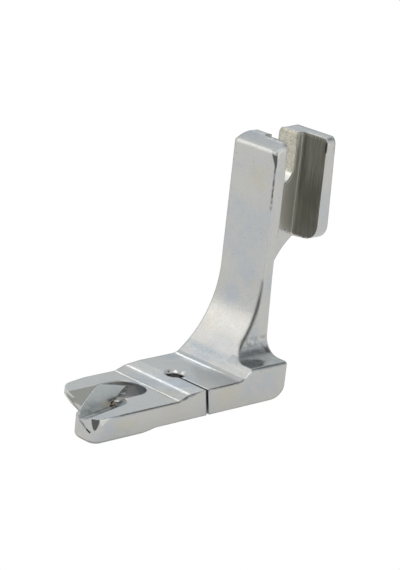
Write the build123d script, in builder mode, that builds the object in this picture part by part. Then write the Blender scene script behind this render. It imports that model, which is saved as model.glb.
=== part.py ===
import os
from math import cos, radians, sin, tan

from build123d import *

# Rolled-hem presser foot for a sewing machine, in millimetres.
# The origin is on the needle hole's axis at the sole's underside.
# +X is the operator's right, -Y the toes, +Y the heel and the presser bar, +Z up.

# Sole
sole_width = 12.25
needle_to_right = 6.35          # needle axis to the right side face
toe_top = 2.7                   # thickness in front of the step
step_slope = 17.0               # degrees
step_rise = 0.55
step_foot_radius = 1.2          # hollow at the foot of the step
step_crest_radius = 0.8
step_crest_y = -3.2
mid_top = 3.45                  # thickness around the needle hole
mid_start_y = -0.8              # the top is level from here
mid_start_radius = 3.0
heel_top = 4.8
heel_bottom_run = 2.85          # its rounded lower edge, along and up
heel_bottom_rise = 3.5
heel_edge_radius = 0.4
heel_corner_radius = 0.6        # seen from above

# Shank
shank_width = 7.75
shank_taper = 0.2               # how much narrower it is at the top
shank_spread = 0.3              # how much wider it is above the flare
shank_front = 12.1              # its front face
shank_thickness = 1.9
crease_y = 6.65                 # where the long front curve starts on the sole
crease_rise = 0.75              # height of that crease over the sole
crease_radius = 2.3             # small hollow below the crease
bend_top = 15.0                 # height at which the front face is upright
flare_radius = 2.45             # hollow between the shank and the heel's top
front_top = 31.5                # upper edge of the front face
plate_top_rise = 1.2            # the top face climbs by this to the channel

# Clamp
bar_diameter = 7.14             # presser bar
bar_clearance = 0.11
web_thickness = 3.45
ear_thickness = 2.0             # at its lower edge
ear_taper = 0.4                 # how much thinner it is at the top
ear_bottom = 18.4               # at the web
ear_bottom_rise = 0.4           # its lower edge climbs to the right
ear_top = 32.4
ear_top_rise = 0.2
corner_radius = 1.1             # top corners seen from the front
ear_foot_radius = 2.2           # lower right corner of the ear
channel_corner = 0.4
screw_slot_radius = 2.5
screw_height = 27.9             # clamp screw's axis over the sole
gusset_foot_z = 8.2             # the web fades out here on the shank's back
gusset_knee_y = 18.5            # its straight underside ends here
gusset_knee_z = 15.5

# Needle hole and thread slit
needle_hole_radius = 1.15
needle_sink_radius = 1.475
slit_width = 0.45
slit_lean = 10.0                # degrees, its top leans towards the toes
slit_shift = -0.12              # at half the sole's height

# Toes and the scroll's opening
opening_width = 5.3
opening_x = -0.475
opening_end_y = -5.29
opening_forward_y = -10.2       # both walls are straight up to here
right_toe_tip = -18.8
right_toe_inner_x = 1.35
inner_wall_run = 2.3            # the right toe's wall eases inwards over this
toe_drop = 0.5                  # the right toe reaches this far under the sole
toe_drop_start = -8.75
toe_drop_end = -11.25
right_toe_left_corner = 2.4
right_toe_right_corner = 1.3
right_toe_bottom_radius = 0.45
corner_facet_bottom = 1.3       # ground facet on the right corner
corner_facet_slope = 5.0        # degrees
side_facet_start = 2.4          # ground facet on the right side, this far behind the tip
side_facet_slope = 7.0          # degrees
side_facet_turn = -5.0          # degrees
left_toe_tip = -15.25
left_toe_corner = 2.5           # how far its corner is cut back each way
left_toe_corner_radius = 3.2
left_toe_taper = 0.45
left_toe_taper_start = -10.0
lead_in_y = -13.35              # the bevel under its tip starts here, at the opening's left side
lead_in_slope = 51.0            # degrees
lead_in_turn = 20.0             # degrees, it reaches further back on the left
tongue_tip_x = -0.1
tongue_slope = 17.0             # degrees, down to the right

# Hollow beside the scroll, and the saw cut that the scroll stands in
toe_turn = 12.0                 # degrees, both run to the right at the front
hollow_floor = 2.1
hollow_radius = 3.0
hollow_end_x = 2.0
hollow_end_y = -12.2
sheet = 0.25                    # thickness of the scroll's steel and of the cut
tab_slope = 27.0                # degrees, down to the right
saw_cut_depth = 2.4
saw_cut_end = 0.5               # it runs on behind the hollow's end
tab_length = 1.7                # the cut's deep end stays open

# Scroll, measured along and across the turned cut from the hollow's end
scroll_back = 6.7
scroll_back_slope = 66.0        # degrees, its rise from the floor line there
scroll_apex_x = 2.6             # the rolled edge narrows towards this point
scroll_apex_y = 12.2
scroll_reach = 5.1              # floor line to crest, this and the next four at the hollow's end
scroll_curl_radius = 1.09
scroll_drop = 0.6               # straight stretch down the far side
scroll_hook_radius = 0.8
scroll_hook_angle = 110.0       # degrees, the turn under

# Scroll's edges seen from above
scroll_tip_gap = 0.69           # its front edge passes the tongue's tip at this distance
scroll_tip_radius = 4.0
scroll_tip_angle = 57.5         # degrees
scroll_end_x = 2.1              # its rear edge meets the toe's floor here
scroll_end_y = -12.85
scroll_end_angle = 61.0         # degrees

sole_right = needle_to_right
sole_left = sole_right - sole_width
shank_right = sole_left + shank_width
channel_front = shank_front + shank_thickness
channel_width = bar_diameter + bar_clearance
channel_back = channel_front + channel_width
heel_back = channel_front
ear_back = channel_back + ear_thickness
web_face = sole_left + web_thickness
ear_fraction = (ear_bottom + ear_bottom_rise - bend_top) / (front_top + plate_top_rise - bend_top)
ear_right = shank_right - shank_taper * ear_fraction
crease_z = mid_top + crease_rise
plate_top = front_top + plate_top_rise
opening_radius = opening_width / 2
opening_left = opening_x - opening_radius
opening_right = opening_x + opening_radius
toe_gap_x = (tongue_tip_x + right_toe_inner_x) / 2
hollow_place = Location((hollow_end_x, hollow_end_y, hollow_floor), (0, 0, toe_turn))
scroll_front = (right_toe_tip - hollow_end_y - tab_length) / cos(radians(toe_turn))
scroll_tip_x = tongue_tip_x + scroll_tip_gap + (left_toe_tip - right_toe_tip) / tan(radians(scroll_tip_angle))
step_foot_y = step_crest_y - step_rise / tan(radians(step_slope))
screw_y = channel_front + channel_width / 2
hollow_run = (crease_radius**2 - (crease_radius - crease_rise) ** 2) ** 0.5


# Plan of the sole and its toes
with BuildPart() as toe_plan:
    with BuildSketch(Plane.XY.offset(-toe_drop)):
        with BuildLine():
            Polyline(
                (opening_right, opening_end_y - opening_radius),
                (opening_right, opening_forward_y),
                (right_toe_inner_x, opening_forward_y - inner_wall_run),
                (right_toe_inner_x, right_toe_tip + right_toe_left_corner),
            )
            RadiusArc(
                (right_toe_inner_x, right_toe_tip + right_toe_left_corner),
                (right_toe_inner_x + right_toe_left_corner, right_toe_tip),
                -right_toe_left_corner,
            )
            Line(
                (right_toe_inner_x + right_toe_left_corner, right_toe_tip),
                (sole_right - right_toe_right_corner, right_toe_tip),
            )
            RadiusArc(
                (sole_right - right_toe_right_corner, right_toe_tip),
                (sole_right, right_toe_tip + right_toe_right_corner),
                -right_toe_right_corner,
            )
            FilletPolyline(
                (sole_right, right_toe_tip + right_toe_right_corner),
                (sole_right, heel_back),
                (sole_left, heel_back),
                (sole_left, left_toe_taper_start),
                radius=heel_corner_radius,
            )
            Line(
                (sole_left, left_toe_taper_start),
                (sole_left + left_toe_taper, left_toe_tip + left_toe_corner),
            )
            RadiusArc(
                (sole_left + left_toe_taper, left_toe_tip + left_toe_corner),
                (sole_left + left_toe_taper + left_toe_corner, left_toe_tip),
                -left_toe_corner_radius,
            )
            Polyline(
                (sole_left + left_toe_taper + left_toe_corner, left_toe_tip),
                (tongue_tip_x, left_toe_tip),
                (opening_left, opening_forward_y),
                (opening_left, opening_end_y - opening_radius),
            )
            RadiusArc(
                (opening_left, opening_end_y - opening_radius),
                (opening_right, opening_end_y - opening_radius),
                opening_radius,
            )
        make_face()
    extrude(amount=toe_drop + heel_top)

# Round-bottomed hollow in the right toe's top, beside the scroll
with BuildPart() as hollow:
    with Locations(hollow_place):
        with Locations((hollow_radius, hollow_radius, 0)):
            Box(
                10 * hollow_radius,
                10 * hollow_radius,
                3 * hollow_radius,
                align=(Align.MAX, Align.MAX, Align.MIN),
            )
    right_wall = hollow.faces().sort_by(Axis.X)[-1]
    rear_wall = hollow.faces().sort_by(Axis.Y)[-1]
    floor_face = hollow.faces().sort_by(Axis.Z)[0]
    rounded = [edge for edge in floor_face.edges() if edge in right_wall.edges() + rear_wall.edges()]
    rounded += [edge for edge in right_wall.edges() if edge in rear_wall.edges()]
    fillet(rounded, hollow_radius)
    split(bisect_by=Plane.YZ.offset(toe_gap_x), keep=Keep.TOP)

# Saw cut: its plane runs with the hollow and slopes down to the right
with BuildPart(Plane(hollow_place * Location((0, 0, 0), (0, tab_slope, 0)))) as saw_cut:
    with Locations((saw_cut_depth, saw_cut_end, 0)):
        Box(
            saw_cut_depth + hollow_radius,
            10 * hollow_radius,
            sheet,
            align=(Align.MAX, Align.MAX, Align.MAX),
        )
    split(bisect_by=Plane.YZ.offset(toe_gap_x), keep=Keep.TOP)

# What lies under the left toe: it is level with the sole, with a bevel under its tip
with BuildPart() as under_left_toe:
    with Locations((toe_gap_x, toe_drop_start, 0)):
        Box(sole_width, sole_width, 2 * toe_drop, align=(Align.MAX, Align.MAX, Align.MAX))
    with Locations(Location((opening_left, lead_in_y, 0), (0, 0, -lead_in_turn))):
        with Locations(Location((0, 0, 0), (-lead_in_slope, 0, 0))):
            Box(4 * sole_width, 2 * sole_width, sole_width, align=(Align.CENTER, Align.CENTER, Align.MAX))
    split(bisect_by=Plane.YZ.offset(toe_gap_x), keep=Keep.BOTTOM)

# Shank: its side profile cut to its front outline
with BuildPart() as shank:
    with BuildSketch(Plane.YZ.offset(sole_left)):
        with BuildLine():
            front_curve = TangentArc((shank_front, bend_top), (crease_y, crease_z), tangent=(0, -1))
            crease_foot = front_curve @ 1 + (front_curve % 1) * crease_rise
            Polyline(
                (shank_front, bend_top),
                (shank_front, front_top),
                (channel_front, plate_top),
                (channel_front, heel_bottom_rise),
                crease_foot,
                front_curve @ 1,
            )
        make_face()
    extrude(amount=sole_width)
    with BuildSketch(Plane.XZ):
        with BuildLine():
            Polyline(
                (shank_right + shank_spread, heel_top + flare_radius),
                (shank_right, bend_top),
                (shank_right - shank_taper, plate_top),
                (sole_left, plate_top),
                (sole_left, 0),
                (sole_right, 0),
                (sole_right, heel_top),
                (shank_right + shank_spread + flare_radius, heel_top),
            )
            RadiusArc(
                (shank_right + shank_spread + flare_radius, heel_top),
                (shank_right + shank_spread, heel_top + flare_radius),
                flare_radius,
            )
        make_face()
        fillet(vertices().group_by(Axis.Y)[-1], corner_radius)
    extrude(amount=2 * ear_back, both=True, mode=Mode.INTERSECT)
    heel_corner = edges().filter_by(Axis.Z).group_by(Axis.X)[-1].sort_by(Axis.Y)[-1]
    fillet(heel_corner, heel_corner_radius)
    heel_rim = shank.faces().filter_by(Axis.Z).sort_by(Axis.X)[-1].edges().sort_by(Axis.X)[1:]
    fillet(heel_rim.sort_by(Axis.Y)[1:], heel_edge_radius)

# Clamp: web, ear and the gusset that carries them
with BuildPart() as clamp:
    with BuildSketch(Plane.YZ.offset(sole_left)):
        with BuildLine():
            knee = Line((channel_front, gusset_foot_z), (gusset_knee_y, gusset_knee_z))
            TangentArc(knee @ 1, (channel_back, ear_bottom), tangent=knee % 1)
            Polyline(
                (channel_back, ear_bottom),
                (ear_back, ear_bottom),
                (ear_back - ear_taper, ear_top + ear_top_rise),
                (channel_back, ear_top),
                (channel_front, plate_top),
                (shank_front, front_top),
                (shank_front, bend_top),
                (channel_front, gusset_foot_z),
            )
        make_face()
    extrude(amount=shank_width)
    with BuildSketch(Plane.XZ):
        with BuildLine():
            Polyline(
                (sole_left, 0),
                (sole_left, plate_top),
                (shank_right - shank_taper, plate_top),
                (ear_right, ear_bottom + ear_bottom_rise),
                (web_face, ear_bottom),
                (web_face, 0),
                close=True,
            )
        make_face()
        fillet(vertices().group_by(Axis.Y)[-1], corner_radius)
        fillet(vertices().group_by(Axis.Y)[2].sort_by(Axis.X)[-1], ear_foot_radius)
    extrude(amount=2 * ear_back, both=True, mode=Mode.INTERSECT)

    # Channel for the presser bar
    with BuildSketch(Plane.XY):
        with Locations((web_face, channel_front)):
            Rectangle(shank_width, channel_width, align=(Align.MIN, Align.MIN))
        fillet(vertices().group_by(Axis.X)[0], channel_corner)
    extrude(amount=2 * plate_top, mode=Mode.SUBTRACT)

with BuildPart() as foot_body:
    with BuildSketch(Plane.YZ.offset(sole_left)):
        with BuildLine():
            Polyline(
                (heel_back - heel_bottom_run, 0),
                (toe_drop_start, 0),
                (toe_drop_end, -toe_drop),
                (right_toe_tip, -toe_drop),
                (right_toe_tip, toe_top),
            )
            FilletPolyline(
                (right_toe_tip, toe_top),
                (step_foot_y, toe_top),
                (step_crest_y, toe_top + step_rise),
                (mid_start_y, mid_top),
                (crease_y - hollow_run, mid_top),
                radius=[step_foot_radius, step_crest_radius, mid_start_radius],
            )
            RadiusArc((crease_y - hollow_run, mid_top), (crease_y, crease_z), -crease_radius)
            Polyline((crease_y, crease_z), (heel_back, crease_z), (heel_back, heel_bottom_rise))
            Spline(
                (heel_back, heel_bottom_rise),
                (heel_back - heel_bottom_run, 0),
                tangents=((0, -1), (-1, 0)),
            )
        make_face()
    extrude(amount=sole_width)
    add(toe_plan.part, mode=Mode.INTERSECT)
    toe_bottom = foot_body.faces().sort_by(Axis.Z)[0]
    fillet(toe_bottom.edges().sort_by(Axis.Y)[0:5], right_toe_bottom_radius)

    # Two ground facets on the right toe's corner
    corner_middle = toe_plan.edges().filter_by(GeomType.CIRCLE).filter_by_position(Axis.X, shank_right, sole_right)
    corner_point = corner_middle.sort_by(Axis.Y)[0] @ 0.5
    corner_place = Location((corner_point.X, corner_point.Y, corner_facet_bottom), (0, 0, -45))
    side_place = Location((sole_right, right_toe_tip + side_facet_start, toe_top), (0, 0, side_facet_turn))
    split(bisect_by=Plane(corner_place * Location((0, 0, 0), (0, 90 - corner_facet_slope, 0))), keep=Keep.BOTTOM)
    split(bisect_by=Plane(side_place * Location((0, 0, 0), (0, 90 - side_facet_slope, 0))), keep=Keep.BOTTOM)
    add(hollow.part, mode=Mode.SUBTRACT)
    add(saw_cut.part, mode=Mode.SUBTRACT)
    add(shank.part)
    add(clamp.part)

    # Screw slot, open at the top
    with BuildSketch(Plane.YZ.offset(sole_left)):
        with Locations((screw_y, screw_height)):
            Circle(screw_slot_radius)
            Rectangle(2 * screw_slot_radius, plate_top, align=(Align.CENTER, Align.MIN))
    extrude(amount=web_thickness, mode=Mode.SUBTRACT)

    # Needle hole and its countersink
    with Locations((0, 0, mid_top)):
        CounterSinkHole(needle_hole_radius, needle_sink_radius, counter_sink_angle=90)

    # Thread slit to the right side
    with BuildSketch(Plane.YZ):
        with Locations((slit_shift, mid_top / 2)):
            Rectangle(slit_width, 2 * mid_top, rotation=slit_lean)
    extrude(amount=sole_right, mode=Mode.SUBTRACT)

    add(under_left_toe.part, mode=Mode.SUBTRACT)

    # The tongue's top slopes down to the right
    tongue_width = toe_gap_x - opening_left
    with BuildSketch(Plane.XZ.offset(-opening_forward_y)):
        with BuildLine():
            Polyline(
                (opening_left, toe_top),
                (opening_left + tongue_width, toe_top - tongue_width * tan(radians(tongue_slope))),
                (opening_left + tongue_width, toe_top),
                close=True,
            )
        make_face()
    extrude(amount=opening_forward_y - left_toe_tip, mode=Mode.SUBTRACT)

# Scroll: one curled sheet, its tab and roll lofted in front and the roll alone behind
scroll_plane = Plane(hollow_place * Location((0, 0, 0), (90, 0, 0)))
uphill = Vector(-cos(radians(tab_slope)), sin(radians(tab_slope)))
roll_start = uphill * sheet / tan(radians(tab_slope))
with BuildPart() as hem_scroll:
    for ends in (
        ((scroll_front, tab_slope, tab_length), (0, tab_slope, tab_length)),
        ((0, tab_slope, 0), (scroll_back, scroll_back_slope, 0)),
    ):
        for station, start_slope, tab in ends:
            scale = 1 - station / scroll_apex_y
            crest_x = scroll_apex_x - (scroll_apex_x + scroll_reach) * scale
            crown_radius = (roll_start.X - crest_x) / sin(radians(start_slope))
            with BuildSketch(scroll_plane.offset(-station)):
                with BuildLine():
                    if tab:
                        Line(uphill * -tab, roll_start)
                    rising = (-cos(radians(start_slope)), sin(radians(start_slope)))
                    crown = JernArc(roll_start, rising, crown_radius, start_slope)
                    curl = JernArc(crown @ 1, crown % 1, scroll_curl_radius * scale, 90)
                    far_side = Line(curl @ 1, curl @ 1 + (curl % 1) * scroll_drop * scale)
                    JernArc(far_side @ 1, far_side % 1, scroll_hook_radius * scale, scroll_hook_angle)
                    offset(amount=sheet, side=Side.LEFT)
                make_face()
        loft(ruled=True)

    # Its edges are cut slanting
    with BuildSketch():
        with BuildLine():
            front_edge = PolarLine((scroll_tip_x, right_toe_tip), 3 * opening_width, 180 - scroll_tip_angle)
            rear_edge = PolarLine((scroll_end_x, scroll_end_y), 3 * opening_width, 180 - scroll_end_angle)
            tab_end = PolarLine((scroll_end_x, scroll_end_y), 2 * tab_length, toe_turn)
            Line(front_edge @ 1, rear_edge @ 1)
            Polyline(tab_end @ 1, (sole_right, right_toe_tip), front_edge @ 0)
        make_face()
        fillet(vertices().sort_by(Axis.Y)[0:2].sort_by(Axis.X)[0], scroll_tip_radius)
    extrude(amount=plate_top, mode=Mode.INTERSECT)

os.makedirs("parts", exist_ok=True)
foot_body.part.label = "foot_body"
export_step(foot_body.part, "parts/foot_body.step")
hem_scroll.part.label = "hem_scroll"
export_step(hem_scroll.part, "parts/hem_scroll.step")
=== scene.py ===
import math

import bmesh
import bpy
from mathutils import Matrix, Vector


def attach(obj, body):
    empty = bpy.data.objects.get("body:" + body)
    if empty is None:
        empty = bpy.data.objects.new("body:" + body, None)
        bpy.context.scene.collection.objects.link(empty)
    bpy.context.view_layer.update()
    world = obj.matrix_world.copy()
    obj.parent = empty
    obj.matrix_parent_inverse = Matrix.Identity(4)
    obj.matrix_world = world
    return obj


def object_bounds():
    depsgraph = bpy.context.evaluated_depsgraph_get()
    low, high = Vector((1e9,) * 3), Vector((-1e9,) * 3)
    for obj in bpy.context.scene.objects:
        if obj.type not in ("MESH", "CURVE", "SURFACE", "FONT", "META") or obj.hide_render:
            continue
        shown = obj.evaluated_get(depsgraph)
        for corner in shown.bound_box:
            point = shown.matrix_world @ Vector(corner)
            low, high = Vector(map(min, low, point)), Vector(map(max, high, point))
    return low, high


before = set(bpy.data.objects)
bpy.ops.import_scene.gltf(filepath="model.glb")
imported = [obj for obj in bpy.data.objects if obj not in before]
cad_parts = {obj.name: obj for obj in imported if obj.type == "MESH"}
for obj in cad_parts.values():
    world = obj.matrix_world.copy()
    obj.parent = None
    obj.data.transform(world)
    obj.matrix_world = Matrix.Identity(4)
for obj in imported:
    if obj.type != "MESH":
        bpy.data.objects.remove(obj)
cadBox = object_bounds()


# Node helpers


def addNode(tree, kind, values=None, **settings):
    made = tree.nodes.new(kind)
    for name, value in settings.items():
        setattr(made, name, value)
    for socket, value in (values or {}).items():
        made.inputs[socket].default_value = value
    return made


def link(tree, source, target):
    tree.links.new(source, target)


# Sets a socket to a fixed value, or links another socket to it
def fill(tree, socket, value):
    if isinstance(value, (int, float, tuple)):
        socket.default_value = value
    else:
        link(tree, value, socket)


def newGroup(name, inputs, outputs):
    tree = bpy.data.node_groups.new(name, "ShaderNodeTree")
    kinds = {"value": "NodeSocketFloat", "vector": "NodeSocketVector"}
    for label, kind in inputs:
        tree.interface.new_socket(label, in_out="INPUT", socket_type=kinds[kind])
    for label, kind in outputs:
        tree.interface.new_socket(label, in_out="OUTPUT", socket_type=kinds[kind])
    entry = addNode(tree, "NodeGroupInput") if inputs else None
    return tree, entry, addNode(tree, "NodeGroupOutput")


def useGroup(tree, group, **values):
    made = addNode(tree, "ShaderNodeGroup")
    made.node_tree = group
    for label, value in values.items():
        made.inputs[label].default_value = value
    return made


# Any number of values, joined two at a time
def maths(tree, operation, first, *others, clamp=False):
    for other in others:
        made = addNode(tree, "ShaderNodeMath", operation=operation, use_clamp=clamp)
        fill(tree, made.inputs[0], first)
        fill(tree, made.inputs[1], other)
        first = made.outputs[0]
    return first


def vectorMaths(tree, operation, *vectors):
    made = addNode(tree, "ShaderNodeVectorMath", operation=operation)
    for socket, vector in zip(made.inputs, vectors):
        fill(tree, socket, vector)
    return made.outputs["Value" if operation == "DOT_PRODUCT" else "Vector"]


def ramped(tree, value, low, high, kind="SMOOTHSTEP"):
    made = addNode(tree, "ShaderNodeMapRange", interpolation_type=kind)
    for label, given in (("Value", value), ("From Min", low), ("From Max", high)):
        fill(tree, made.inputs[label], given)
    return made.outputs[0]


# A mix node's colour sockets are 6 and 7 going in, and 2 coming out
def mixColour(tree, mask, first, second):
    made = addNode(tree, "ShaderNodeMix", data_type="RGBA")
    for number, value in ((0, mask), (6, first), (7, second)):
        fill(tree, made.inputs[number], value)
    return made.outputs[2]


def mixShader(tree, mask, first, second):
    made = addNode(tree, "ShaderNodeMixShader")
    for socket, source in zip(made.inputs, (mask, first, second)):
        link(tree, source, socket)
    return made.outputs[0]


def emptyTree(owner):
    owner.use_nodes = True
    owner.node_tree.nodes.clear()
    return owner.node_tree


# Shared effects. Places and sizes are in millimetres

effectLook = {
    "perMetre": 1000,
    "cloudDetail": 5.0,
    "cloudRoughness": 0.6,
    "pitRadius": 0.22,
    "pitSharpness": 12.0,
    "grainDetail": 3.0,
    "grainRoughness": 0.7,
    "bevelSamples": 6,
    "edgeWidth": 1.6,
    "edgeGain": 12.0,
}

placeGroup, groupIn, groupOut = newGroup(
    "placeInMillimetres", [], [("Place", "vector"), ("Facing", "vector")]
)
coords = addNode(placeGroup, "ShaderNodeTexCoord")
perMetre = (effectLook["perMetre"],) * 3
scaled = vectorMaths(placeGroup, "MULTIPLY", coords.outputs["Object"], perMetre)
link(placeGroup, scaled, groupOut.inputs["Place"])
link(placeGroup, coords.outputs["Normal"], groupOut.inputs["Facing"])

patchGroup, groupIn, groupOut = newGroup(
    "cloudyPatches",
    [
        ("Place", "vector"),
        ("Size", "value"),
        ("Low", "value"),
        ("High", "value"),
        ("Shift", "value"),
    ],
    [("Mask", "value")],
)
noise = addNode(
    patchGroup,
    "ShaderNodeTexNoise",
    {"Detail": effectLook["cloudDetail"], "Roughness": effectLook["cloudRoughness"]},
    noise_dimensions="4D",
)
link(patchGroup, groupIn.outputs["Place"], noise.inputs["Vector"])
link(patchGroup, groupIn.outputs["Shift"], noise.inputs["W"])
link(patchGroup, maths(patchGroup, "DIVIDE", 1.0, groupIn.outputs["Size"]), noise.inputs["Scale"])
clouds = ramped(patchGroup, noise.outputs[0], groupIn.outputs["Low"], groupIn.outputs["High"])
link(patchGroup, clouds, groupOut.inputs["Mask"])

pitGroup, groupIn, groupOut = newGroup(
    "tinyPits", [("Place", "vector"), ("Size", "value"), ("Amount", "value")], [("Mask", "value")]
)
cells = addNode(pitGroup, "ShaderNodeTexVoronoi", {"Randomness": 1.0})
link(pitGroup, groupIn.outputs["Place"], cells.inputs["Vector"])
link(pitGroup, maths(pitGroup, "DIVIDE", 1.0, groupIn.outputs["Size"]), cells.inputs["Scale"])
chosen = addNode(pitGroup, "ShaderNodeSeparateColor")
link(pitGroup, cells.outputs["Color"], chosen.inputs[0])
kept = maths(pitGroup, "LESS_THAN", chosen.outputs[0], groupIn.outputs["Amount"])
pitRadius = maths(pitGroup, "MULTIPLY", chosen.outputs[1], effectLook["pitRadius"])
depth = maths(pitGroup, "SUBTRACT", pitRadius, cells.outputs["Distance"])
soft = maths(pitGroup, "MULTIPLY", depth, effectLook["pitSharpness"], clamp=True)
link(pitGroup, maths(pitGroup, "MULTIPLY", soft, kept), groupOut.inputs["Mask"])

grainGroup, groupIn, groupOut = newGroup(
    "machinedGrain", [("Place", "vector"), ("Across", "vector")], [("Height", "value")]
)
stretched = vectorMaths(
    grainGroup, "MULTIPLY", groupIn.outputs["Place"], groupIn.outputs["Across"]
)
lines = addNode(
    grainGroup,
    "ShaderNodeTexNoise",
    {"Scale": 1.0, "Detail": effectLook["grainDetail"], "Roughness": effectLook["grainRoughness"]},
)
link(grainGroup, stretched, lines.inputs["Vector"])
link(grainGroup, lines.outputs[0], groupOut.inputs["Height"])

# Rounded normals, and a mask of the edges from a second, wider rounding
edgeGroup, groupIn, groupOut = newGroup(
    "roundedEdges", [("Radius", "value")], [("Normal", "vector"), ("Edge", "value")]
)
bevel = addNode(edgeGroup, "ShaderNodeBevel", samples=effectLook["bevelSamples"])
wide = addNode(edgeGroup, "ShaderNodeBevel", samples=effectLook["bevelSamples"])
geometry = addNode(edgeGroup, "ShaderNodeNewGeometry")
wideRadius = maths(edgeGroup, "MULTIPLY", groupIn.outputs["Radius"], effectLook["edgeWidth"])
link(edgeGroup, groupIn.outputs["Radius"], bevel.inputs["Radius"])
link(edgeGroup, wideRadius, wide.inputs["Radius"])
agree = vectorMaths(edgeGroup, "DOT_PRODUCT", wide.outputs[0], geometry.outputs["Normal"])
turned = maths(edgeGroup, "SUBTRACT", 1.0, agree)
edgeMask = maths(edgeGroup, "MULTIPLY", turned, effectLook["edgeGain"], clamp=True)
link(edgeGroup, bevel.outputs[0], groupOut.inputs["Normal"])
link(edgeGroup, edgeMask, groupOut.inputs["Edge"])

# A box round a middle, fading inwards from its sides
zoneGroup, groupIn, groupOut = newGroup(
    "softZone",
    [("Place", "vector"), ("Centre", "vector"), ("Reach", "vector"), ("Fade", "value")],
    [("Mask", "value")],
)
away = vectorMaths(zoneGroup, "SUBTRACT", groupIn.outputs["Place"], groupIn.outputs["Centre"])
share = vectorMaths(zoneGroup, "DIVIDE", away, groupIn.outputs["Reach"])
axes = addNode(zoneGroup, "ShaderNodeSeparateXYZ")
link(zoneGroup, vectorMaths(zoneGroup, "ABSOLUTE", share), axes.inputs[0])
margin = maths(zoneGroup, "SUBTRACT", 1.0, maths(zoneGroup, "MAXIMUM", *axes.outputs))
faded = maths(zoneGroup, "DIVIDE", margin, groupIn.outputs["Fade"], clamp=True)
link(zoneGroup, faded, groupOut.inputs["Mask"])


def effect(tree, place, group, **values):
    made = useGroup(tree, group, **values)
    link(tree, place, made.inputs["Place"])
    return made.outputs[0]


def zone(tree, place, centre, reach, fade):
    return effect(tree, place, zoneGroup, Centre=centre, Reach=reach, Fade=fade)


def patches(tree, place, size, low, high, shift):
    return effect(tree, place, patchGroup, Size=size, Low=low, High=high, Shift=shift)


def grain(tree, place, across):
    return effect(tree, place, grainGroup, Across=across)


def pits(tree, place, size, amount):
    return effect(tree, place, pitGroup, Size=size, Amount=amount)


def towards(tree, facing, direction, limit):
    return maths(tree, "GREATER_THAN", vectorMaths(tree, "DOT_PRODUCT", facing, direction), limit)


# How far a place lies beyond a slanting plane, from 0 to 1
def beyond(tree, place, plane, *ragged):
    distance = vectorMaths(tree, "DOT_PRODUCT", place, plane["slope"])
    distance = maths(tree, "SUBTRACT", distance, plane["limit"], *ragged)
    return maths(tree, "MULTIPLY", distance, plane["sharpness"], clamp=True)


# Tints small places one after the other, some of them mottled
def toned(tree, place, tint, look):
    for centre, reach, fade, shade, strength, mottle, least in look["tones"]:
        mask = maths(tree, "MULTIPLY", zone(tree, place, centre, reach, fade), strength)
        if mottle:
            cloud = maths(tree, "MAXIMUM", patches(tree, place, *mottle), least)
            mask = maths(tree, "MULTIPLY", mask, cloud)
        tint = mixColour(tree, mask, tint, look[shade])
    return tint


def newMetal(name):
    material = bpy.data.materials.new(name)
    tree = emptyTree(material)
    output = addNode(tree, "ShaderNodeOutputMaterial")
    shader = addNode(tree, "ShaderNodeBsdfPrincipled", {"Metallic": 1.0})
    link(tree, shader.outputs[0], output.inputs[0])
    return material, tree, shader, useGroup(tree, placeGroup)


def addBump(tree, shader, height, look):
    bump = addNode(
        tree, "ShaderNodeBump", {"Strength": look["bumpStrength"], "Distance": look["bumpDepth"]}
    )
    link(tree, height, bump.inputs["Height"])
    link(tree, bump.outputs[0], shader.inputs["Normal"])
    return bump


print("shared effects made")

# Foot: plated and polished steel. Patches are size, low, high and shift

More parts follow.
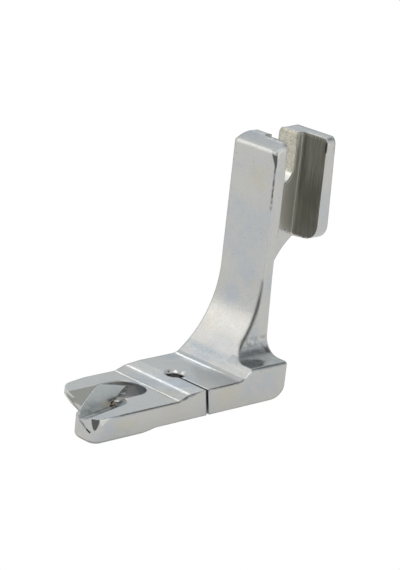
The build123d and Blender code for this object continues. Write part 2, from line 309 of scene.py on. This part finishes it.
footLook = {
    "metal": (0.80, 0.79, 0.78, 1),
    "cool": (0.66, 0.71, 0.79, 1),
    "warm": (0.80, 0.765, 0.66, 1),
    # Painted shade of the machined channel, its scoring, and its painted lit web faces
    "paintedChannelShading": (0.26, 0.25, 0.22, 1),
    "score": (0.46, 0.45, 0.40, 1),
    "web": (0.72, 0.71, 0.65, 1),
    # Painted shade on the ramp under the scroll and at the foot of the step
    "ramp": (0.50, 0.485, 0.445, 1),
    "paintedHeelReflection": (0.50, 0.515, 0.52, 1),
    "paintedCreaseShade": (0.50, 0.56, 0.62, 1),
    # Dark of real pits and specks, also used for painted shade in the pocket and the hollow
    "pitAndShade": (0.16, 0.15, 0.14, 1),
    # Painted dark reflections and shade, and painted highlights
    "paintedDark": (0.05, 0.055, 0.06, 1),
    "paintedBright": (0.97, 0.97, 0.95, 1),
    # Edges are rounded by edgeRadius, and up to wideRadius here: middle, reach, share
    "edgeRadius": 0.0003,
    "wideRadius": 0.0007,
    "wideFade": 0.3,
    "wideEdges": (
        ((0.2, -3.35, 3.2), (7.0, 1.1, 0.5), 1.0),
        ((-2.0, 17.0, 31.9), (6.0, 8.0, 1.6), 1.0),
        ((2.6, 9.8, 10.5), (2.0, 2.9, 5.5), 0.7),
    ),
    # Slow changes of tint over the whole foot
    "clouds": (((6.0, 0.45, 0.75, 1.0), "cool"), ((5.0, 0.55, 0.80, 7.0), "warm")),
    # Stains in the plating: middle, reach, tint, strength
    "stainFade": 0.7,
    "stainPatches": (1.6, 0.2, 0.7, 23.0),
    "stains": (
        ((-1.6, 12.1, 21.0), (4.2, 0.8, 4.2), "cool", 0.9),
        ((-1.2, 12.1, 27.6), (2.4, 0.8, 2.0), "warm", 0.9),
        ((-1.0, 8.6, 8.2), (4.6, 1.8, 2.0), "warm", 0.6),
        ((6.35, 9.0, 2.6), (0.5, 4.0, 2.0), "cool", 0.8),
        ((6.35, 3.5, 2.2), (0.5, 2.5, 1.4), "warm", 0.7),
        ((6.35, -13.8, 1.2), (0.5, 2.2, 1.1), "warm", 0.9),
    ),
    # Fine dark specks, twice as strong on the curve in front of the shank
    "curve": ((-2.0, 9.6, 9.5), (6.0, 2.9, 5.2), 0.4),
    "curveSpecks": 0.10,
    "specks": 0.09,
    "speckPatches": (0.2, 0.3, 0.7, 21.0),
    # The presser-bar channel is machined bare above a ragged slanting line; its dark tint is
    # painted shade, and faces turned to +X are painted lighter as lit web faces
    "channel": ((1.5, 17.63, 26.0), (4.2, 3.72, 9.5), 0.02),
    "channelPlane": {"slope": (0.0, 0.49, 1.0), "limit": 28.6, "sharpness": 6.0},
    "tornPatches": (0.5, 0.2, 0.8, 13.0),
    "torn": 0.8,
    "scoreGrain": (7.0, 7.0, 0.2),
    "scoreLimits": (0.45, 0.75),
    "webFacing": (1.0, 0.0, 0.0),
    "webLimit": 0.9,
    # Painted shade on the ramp under the scroll, and the rough far wall of the screw slot
    "rampZone": ((-1.6, -12.8, 2.2), (1.62, 2.75, 0.485), 0.03),
    "wallZone": ((-4.2, 20.1, 29.5), (1.76, 0.15, 4.0), 0.05),
    "wallPatches": (0.3, 0.45, 0.7, 19.0),
    "wallPits": 0.45,
    # Painted shade and reflections: the shank's reflection on the heel top, shade in the pocket
    # beside the heel, in the crease, in the hollow by the scroll and at its end, and at the foot
    # of the step:
    # middle, reach, fade, tint, strength, patches, least share of them
    "tones": (
        ((4.2, 11.0, 4.9), (2.5, 4.2, 0.5), 0.2, "paintedHeelReflection", 1.0, (1.3, 0.15, 0.6, 8.0), 0.0),
        ((2.9, 11.3, 6.2), (1.6, 2.8, 1.2), 0.4, "pitAndShade", 0.5, (0.5, 0.35, 0.65, 25.0), 0.0),
        ((-2.0, 7.1, 4.65), (6.0, 0.9, 0.6), 0.6, "paintedCreaseShade", 1.0, (0.22, 0.25, 0.7, 15.0), 0.0),
        ((1.7, -13.2, 2.35), (2.4, 3.2, 0.33), 0.1, "pitAndShade", 1.0, (0.9, 0.3, 0.65, 17.0), 0.55),
        ((1.7, -11.6, 2.2), (1.1, 0.9, 0.35), 0.4, "paintedDark", 0.75, None, 0.0),
        ((0.2, -5.0, 2.75), (6.6, 0.35, 0.2), 0.5, "ramp", 0.7, None, 0.0),
    ),
    # A painted dark reflection on a ground triangle beside the shank's upper corner
    "triangle": ((1.2, 12.15, 30.6), (0.8, 0.2, 1.2), 0.1),
    "trianglePlane": {"slope": (1.0, 0.0, 0.5), "limit": 16.36, "sharpness": 6.0},
    "triangleStrength": 0.85,
    # Painted dark reflections and highlights along edges: middle, reach, tint, raggedness
    "edgeFade": 0.25,
    "brokenSize": 0.35,
    "brokenLow": (0.1, 0.25),
    "brokenHigh": (0.25, 0.35),
    "brokenShift": 11.0,
    "edges": (
        ((2.9, 9.6, 10.0), (1.9, 2.9, 5.0), "paintedDark", 0.35),
        ((6.35, -8.8, 2.8), (0.25, 7.6, 0.75), "paintedDark", 0.75),
        ((6.35, 3.0, 3.4), (0.20, 3.6, 0.4), "paintedDark", 0.75),
        ((6.2, 11.2, 4.7), (0.6, 3.0, 0.35), "paintedDark", 0.45),
        ((6.35, 7.2, 4.4), (0.30, 1.2, 0.6), "paintedBright", 0.0),
        ((-2.0, 12.1, 31.6), (4.2, 0.6, 0.5), "paintedBright", 0.0),
        ((1.65, 13.0, 31.4), (0.4, 0.8, 0.8), "paintedBright", 0.0),
        ((1.65, 12.15, 27.0), (0.25, 0.25, 3.2), "paintedDark", 0.9),
        ((1.6, 21.25, 31.3), (0.2, 0.2, 0.8), "paintedDark", 0.3),
        ((0.2, -3.2, 3.25), (6.4, 0.5, 0.3), "paintedBright", 0.0),
        ((-3.7, -14.9, 2.55), (2.4, 1.3, 0.3), "paintedBright", 0.0),
        ((-3.7, -14.9, 1.6), (2.4, 1.5, 0.6), "paintedDark", 0.6),
    ),
    # Painted dark and bright reflections on small ground facets on the right toe's corner: the way
    # they face, tint, strength
    "facetZone": ((5.9, -17.6, 2.0), (1.0, 1.6, 1.0), 0.05),
    "facetLimit": 0.9992,
    "facets": (
        ((0.704, -0.704, 0.087), "paintedDark", 0.85),
        ((0.989, -0.0865, 0.122), "paintedBright", 0.8),
    ),
    "pitSize": 0.45,
    "pitAmount": 0.06,
    "pitTint": 0.55,
    # Roughness: polished, satin on the shank's front, dull in the channel
    "polish": 0.17,
    "satin": 0.30,
    "satinZone": ((-2.0, 10.0, 18.0), (6.0, 3.0, 14.5), 0.1),
    "hazePatches": (2.0, 0.35, 0.75, 3.0),
    "haze": 0.07,
    "channelDull": 0.3,
    # Relief: grain along each axis, patches, and how deep they go
    "channelGrain": (14.0, 14.0, 0.5),
    "polishGrain": (9.0, 0.8, 9.0),
    "polishDepth": 0.25,
    "wavePatches": (3.0, 0.2, 0.8, 5.0),
    "waveDepth": 1.4,
    "castPatches": (0.3, 0.2, 0.8, 19.0),
    "castShare": 0.12,
    "castDepth": 2.5,
    "rampGrain": (1.0, 9.0, 1.0),
    "pitDepth": 1.5,
    "bumpStrength": 0.25,
    "bumpDepth": 0.00004,
}

plated, tree, shader, here = newMetal("platedSteel")
place = here.outputs["Place"]
facing = here.outputs["Facing"]
wideShares = [
    maths(tree, "MULTIPLY", zone(tree, place, centre, reach, footLook["wideFade"]), part)
    for centre, reach, part in footLook["wideEdges"]
]
widest = maths(tree, "MAXIMUM", *wideShares)
wider = maths(tree, "MULTIPLY", widest, footLook["wideRadius"] - footLook["edgeRadius"])
edges = useGroup(tree, edgeGroup)
link(tree, maths(tree, "ADD", wider, footLook["edgeRadius"]), edges.inputs["Radius"])

tint = footLook["metal"]
for cloud, shade in footLook["clouds"]:
    tint = mixColour(tree, patches(tree, place, *cloud), tint, footLook[shade])
for centre, reach, shade, strength in footLook["stains"]:
    stained = zone(tree, place, centre, reach, footLook["stainFade"])
    cloud = patches(tree, place, *footLook["stainPatches"])
    stain = maths(tree, "MULTIPLY", stained, cloud, strength)
    tint = mixColour(tree, stain, tint, footLook[shade])
onCurve = maths(tree, "MULTIPLY", zone(tree, place, *footLook["curve"]), footLook["curveSpecks"])
speckShare = maths(tree, "ADD", onCurve, footLook["specks"])
specks = maths(tree, "MULTIPLY", speckShare, patches(tree, place, *footLook["speckPatches"]))
tint = mixColour(tree, specks, tint, footLook["pitAndShade"])

tornEdge = maths(
    tree, "MULTIPLY", patches(tree, place, *footLook["tornPatches"]), footLook["torn"]
)
above = beyond(tree, place, footLook["channelPlane"], tornEdge)
channel = maths(tree, "MULTIPLY", zone(tree, place, *footLook["channel"]), above)
scoring = grain(tree, place, footLook["scoreGrain"])
scored = ramped(tree, scoring, *footLook["scoreLimits"], kind="LINEAR")
# Painted shade in the channel with its scoring, lighter on the lit web faces
paintedChannelShading = mixColour(tree, scored, footLook["paintedChannelShading"], footLook["score"])
webSide = towards(tree, facing, footLook["webFacing"], footLook["webLimit"])
paintedChannelShading = mixColour(tree, webSide, paintedChannelShading, footLook["web"])
tint = mixColour(tree, channel, tint, paintedChannelShading)

# Painted shade on the ramp under the scroll
ramp = zone(tree, place, *footLook["rampZone"])
tint = mixColour(tree, ramp, tint, footLook["ramp"])
wall = zone(tree, place, *footLook["wallZone"])
tint = mixColour(tree, wall, tint, footLook["warm"])
coarse = maths(
    tree, "MULTIPLY", patches(tree, place, *footLook["wallPatches"]), footLook["wallPits"], wall
)
tint = mixColour(tree, coarse, tint, footLook["pitAndShade"])
# Painted shade and reflections in the small places of the tones table
tint = toned(tree, place, tint, footLook)

# Painted dark reflection on the triangle beside the shank's corner
triangle = maths(
    tree,
    "MULTIPLY",
    beyond(tree, place, footLook["trianglePlane"]),
    zone(tree, place, *footLook["triangle"]),
    footLook["triangleStrength"],
)
tint = mixColour(tree, triangle, tint, footLook["paintedDark"])

# Painted highlights and dark reflections along edges: the more ragged an edge, the more of its
# tint is broken away
lowStart, lowMore = footLook["brokenLow"]
highStart, highMore = footLook["brokenHigh"]
for centre, reach, shade, ragged in footLook["edges"]:
    along = zone(tree, place, centre, reach, footLook["edgeFade"])
    low = lowStart + lowMore * ragged
    high = highStart + highMore * ragged
    broken = patches(tree, place, footLook["brokenSize"], low, high, footLook["brokenShift"])
    mask = maths(tree, "MULTIPLY", along, broken, edges.outputs["Edge"])
    tint = mixColour(tree, mask, tint, footLook[shade])
# Painted reflections on the toe's corner facets, chosen by the way each faces
corner = zone(tree, place, *footLook["facetZone"])
for direction, shade, strength in footLook["facets"]:
    facet = towards(tree, facing, direction, footLook["facetLimit"])
    tint = mixColour(tree, maths(tree, "MULTIPLY", facet, strength, corner), tint, footLook[shade])

pitted = pits(tree, place, footLook["pitSize"], footLook["pitAmount"])
pitTint = maths(tree, "MULTIPLY", pitted, footLook["pitTint"])
tint = mixColour(tree, pitTint, tint, footLook["pitAndShade"])
link(tree, tint, shader.inputs["Base Color"])

shankFront = zone(tree, place, *footLook["satinZone"])
satin = maths(tree, "MULTIPLY", shankFront, footLook["satin"] - footLook["polish"])
haze = maths(tree, "MULTIPLY", patches(tree, place, *footLook["hazePatches"]), footLook["haze"])
dull = maths(tree, "MULTIPLY", channel, footLook["channelDull"])
rough = maths(tree, "ADD", satin, haze, footLook["polish"], dull)
link(tree, rough, shader.inputs["Roughness"])

vertical = maths(tree, "MULTIPLY", grain(tree, place, footLook["channelGrain"]), channel)
lengthwise = maths(
    tree, "MULTIPLY", grain(tree, place, footLook["polishGrain"]), footLook["polishDepth"]
)
waves = maths(
    tree, "MULTIPLY", patches(tree, place, *footLook["wavePatches"]), footLook["waveDepth"]
)
castShare = maths(tree, "ADD", wall, footLook["castShare"])
castPatches = patches(tree, place, *footLook["castPatches"])
cast = maths(tree, "MULTIPLY", castPatches, castShare, footLook["castDepth"])
across = maths(tree, "MULTIPLY", grain(tree, place, footLook["rampGrain"]), ramp)
height = maths(tree, "ADD", vertical, lengthwise, waves, cast, across)
pitDepth = maths(tree, "MULTIPLY", pitted, footLook["pitDepth"])
bump = addBump(tree, shader, maths(tree, "SUBTRACT", height, pitDepth), footLook)
link(tree, edges.outputs["Normal"], bump.inputs["Normal"])

# Scroll: thin curled steel, brazed where it leaves the toe

scrollLook = {
    "metal": (0.63, 0.645, 0.64, 1),
    "shadow": (0.32, 0.345, 0.35, 1),
    "braze": (0.45, 0.37, 0.27, 1),
    # Painted shade inside the curl
    "curlShade": (0.06, 0.065, 0.07, 1),
    # Painted highlight along the scroll's front edge
    "rimHighlight": (0.97, 0.97, 0.95, 1),
    "edgeRadius": 0.0001,
    # Shadow from the first height down to the second, mottled
    "shadowHeights": (3.1, 2.3),
    "shadowPatches": (1.4, 0.25, 0.7, 2.0),
    # Brazed tab, and painted shade inside the curl: the same values as in the foot's tones
    "tones": (
        ((1.6, -12.6, 2.2), (1.3, 1.6, 0.5), 0.8, "braze", 0.7, None, 0.0),
        ((1.7, -11.5, 2.2), (1.3, 1.1, 0.4), 0.4, "curlShade", 0.85, None, 0.0),
    ),
    # Where the painted highlight lies along the scroll's front edge
    "rimZone": ((-1.0, -14.6, 3.0), (3.4, 3.4, 3.0), 0.1),
    "polish": 0.2,
    "hazePatches": (0.8, 0.3, 0.8, 4.0),
    "haze": 0.12,
    "rollGrain": (2.0, 12.0, 2.0),
    "ripples": (1.2, 0.2, 0.8, 9.0),
    "bumpStrength": 0.25,
    "bumpDepth": 0.00003,
}

curled, tree, shader, here = newMetal("scrollSteel")
place = here.outputs["Place"]
edges = useGroup(tree, edgeGroup, Radius=scrollLook["edgeRadius"])
axes = addNode(tree, "ShaderNodeSeparateXYZ")
link(tree, place, axes.inputs[0])
lower = ramped(tree, axes.outputs[2], *scrollLook["shadowHeights"])
mottled = maths(tree, "MULTIPLY", lower, patches(tree, place, *scrollLook["shadowPatches"]))
tint = mixColour(tree, mottled, scrollLook["metal"], scrollLook["shadow"])
tint = toned(tree, place, tint, scrollLook)
# Painted highlight on the scroll's front edge
rimHighlight = maths(
    tree, "MULTIPLY", edges.outputs["Edge"], zone(tree, place, *scrollLook["rimZone"])
)
tint = mixColour(tree, rimHighlight, tint, scrollLook["rimHighlight"])
link(tree, tint, shader.inputs["Base Color"])
haze = maths(
    tree, "MULTIPLY", patches(tree, place, *scrollLook["hazePatches"]), scrollLook["haze"]
)
link(tree, maths(tree, "ADD", haze, scrollLook["polish"]), shader.inputs["Roughness"])
rolled = grain(tree, place, scrollLook["rollGrain"])
height = maths(tree, "ADD", rolled, patches(tree, place, *scrollLook["ripples"]))
bump = addBump(tree, shader, height, scrollLook)
link(tree, edges.outputs["Normal"], bump.inputs["Normal"])

for node, material in (("foot_body", plated), ("hem_scroll", curled)):
    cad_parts[node].data.materials[0] = material
print("materials made")

# Braze bead that fills the corner between the scroll's rear foot and the toe, kept dark to stand
# for the shade in the gap under the scroll's roll

brazeShadeLook = {
    # The bead's dark tint is painted shade for the gap under the scroll's roll
    "metal": (0.13, 0.12, 0.10, 1),
    "roughness": 0.45,
    "patches": (0.25, 0.3, 0.7, 27.0),
    "bumpStrength": 0.5,
    "bumpDepth": 0.00005,
    "place": (0.00162, -0.01142, 0.00197),
    "size": (0.00050, 0.00070, 0.00025),
    "subdivisions": 3,
}

brazeShade, tree, shader, here = newMetal("braze")
shader.inputs["Roughness"].default_value = brazeShadeLook["roughness"]
clouded = patches(tree, here.outputs["Place"], *brazeShadeLook["patches"])
tint = mixColour(tree, clouded, brazeShadeLook["metal"], scrollLook["braze"])
link(tree, tint, shader.inputs["Base Color"])
addBump(tree, shader, clouded, brazeShadeLook)

form = bmesh.new()
bmesh.ops.create_icosphere(form, subdivisions=brazeShadeLook["subdivisions"], radius=1.0)
for vertex in form.verts:
    for axis in range(3):
        vertex.co[axis] = vertex.co[axis] * brazeShadeLook["size"][axis] + brazeShadeLook["place"][axis]
for face in form.faces:
    face.smooth = True
beadMesh = bpy.data.meshes.new("braze_shade_bead")
form.to_mesh(beadMesh)
form.free()
beadMesh.materials.append(brazeShade)
bead = bpy.data.objects.new("braze_shade_bead", beadMesh)
bpy.context.scene.collection.objects.link(bead)
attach(bead, "root")
print("braze made")

# Studio: white all round for the camera, panels and a darker room for the reflections

studioLook = {
    "below": (0.80, 0.79, 0.77, 1),
    "room": (0.55, 0.58, 0.585, 1),
    "horizon": 0.08,
    "white": (1, 1, 1, 1),
    # Panels: the way to the middle, half width and soft rim in degrees, light
    "panels": (
        ((-0.67, -0.58, 0.42), 10.0, 7.0, (1.50, 1.45, 1.34, 1)),
        ((-0.67, -0.32, 0.62), 11.0, 8.0, (1.08, 1.07, 1.04, 1)),
        ((-0.67, 0.49, 0.545), 3.5, 2.0, (2.40, 2.42, 2.42, 1)),
        ((0.68, -0.69, 0.14), 9.0, 6.0, (0.14, 0.14, 0.15, 1)),
        ((0.25, 0.66, 0.70), 15.0, 7.0, (0.12, 0.13, 0.14, 1)),
        ((0.86, 0.50, 0.05), 9.0, 4.0, (1.40, 1.40, 1.35, 1)),
        ((0.42, -0.42, 0.80), 20.0, 6.0, (1.60, 1.56, 1.52, 1)),
    ),
}

world = bpy.data.worlds.new("studio")
bpy.context.scene.world = world
tree = emptyTree(world)
output = addNode(tree, "ShaderNodeOutputWorld")
coords = addNode(tree, "ShaderNodeTexCoord")
heading = vectorMaths(tree, "NORMALIZE", coords.outputs["Generated"])
axes = addNode(tree, "ShaderNodeSeparateXYZ")
link(tree, heading, axes.inputs[0])
horizon = ramped(tree, axes.outputs[2], -studioLook["horizon"], studioLook["horizon"])
colour = mixColour(tree, horizon, studioLook["below"], studioLook["room"])
for direction, spread, fade, light in studioLook["panels"]:
    panelMiddle = tuple(Vector(direction).normalized())
    angle = vectorMaths(tree, "DOT_PRODUCT", heading, panelMiddle)
    outer = math.cos(math.radians(spread + fade))
    inner = math.cos(math.radians(spread - fade))
    colour = mixColour(tree, ramped(tree, angle, outer, inner), colour, light)
room = addNode(tree, "ShaderNodeBackground", {"Strength": 1.0})
link(tree, colour, room.inputs["Color"])
white = addNode(tree, "ShaderNodeBackground", {"Color": studioLook["white"], "Strength": 1.0})
rays = addNode(tree, "ShaderNodeLightPath")
surround = mixShader(tree, rays.outputs["Is Camera Ray"], room.outputs[0], white.outputs[0])
link(tree, surround, output.inputs[0])

# Floor: white for the camera, pale and shaded in the reflections, see-through from below.
# Glossy rays shorter than contactGap, under the sole, see a plain grey glow: painted light in
# place of the shaded floor

floorLook = {
    "colour": (0.95, 0.935, 0.91, 1),
    # Painted light: an emitted grey in place of the shaded floor under the sole
    "contactGlow": (0.40, 0.40, 0.39, 1),
    "contactGap": 0.0006,
    "white": (1, 1, 1, 1),
    "half": 0.5,
    "level": cadBox[0].z,
}

floorMaterial = bpy.data.materials.new("paleFloor")
tree = emptyTree(floorMaterial)
output = addNode(tree, "ShaderNodeOutputMaterial")
paint = addNode(tree, "ShaderNodeBsdfDiffuse", {"Color": floorLook["colour"]})
glow = addNode(tree, "ShaderNodeEmission", {"Color": floorLook["contactGlow"], "Strength": 1.0})
white = addNode(tree, "ShaderNodeEmission", {"Color": floorLook["white"], "Strength": 1.0})
clear = addNode(tree, "ShaderNodeBsdfTransparent")
rays = addNode(tree, "ShaderNodeLightPath")
sides = addNode(tree, "ShaderNodeNewGeometry")
near = maths(tree, "LESS_THAN", rays.outputs["Ray Length"], floorLook["contactGap"])
touching = maths(tree, "MULTIPLY", near, rays.outputs["Is Glossy Ray"])
surface = mixShader(tree, touching, paint.outputs[0], glow.outputs[0])
surface = mixShader(tree, rays.outputs["Is Camera Ray"], surface, white.outputs[0])
surface = mixShader(tree, sides.outputs["Backfacing"], surface, clear.outputs[0])
link(tree, surface, output.inputs[0])

half = floorLook["half"]
corners = [(-half, -half, 0), (half, -half, 0), (half, half, 0), (-half, half, 0)]
floorMesh = bpy.data.meshes.new("floor")
floorMesh.from_pydata(corners, [], [(0, 1, 2, 3)])
floorMesh.materials.append(floorMaterial)
floor = bpy.data.objects.new("floor", floorMesh)
floor.location.z = floorLook["level"]
bpy.context.scene.collection.objects.link(floor)
print("studio and floor made")

# Camera, seen a little from above and turned slightly about its own axis

cameraLook = {
    "place": (0.18929, -0.18861, 0.09919),
    "right": (0.683425, 0.722472, 0.104713),
    "up": (-0.287073, 0.134088, 0.948478),
    "back": (0.671208, -0.678274, 0.299041),
    "lens": 141.66,
    "sensor": 36,
    "clip": (0.01, 10),
}

camera = bpy.data.objects.new("camera", bpy.data.cameras.new("camera"))
bpy.context.scene.collection.objects.link(camera)
bpy.context.scene.camera = camera
camera.data.sensor_width = cameraLook["sensor"]
camera.data.lens = cameraLook["lens"]
camera.data.clip_start, camera.data.clip_end = cameraLook["clip"]
turn = Matrix((cameraLook["right"], cameraLook["up"], cameraLook["back"])).transposed()
camera.matrix_world = Matrix.Translation(cameraLook["place"]) @ turn.to_4x4()

bpy.context.scene.view_settings.view_transform = "Standard"

print("scene ready")
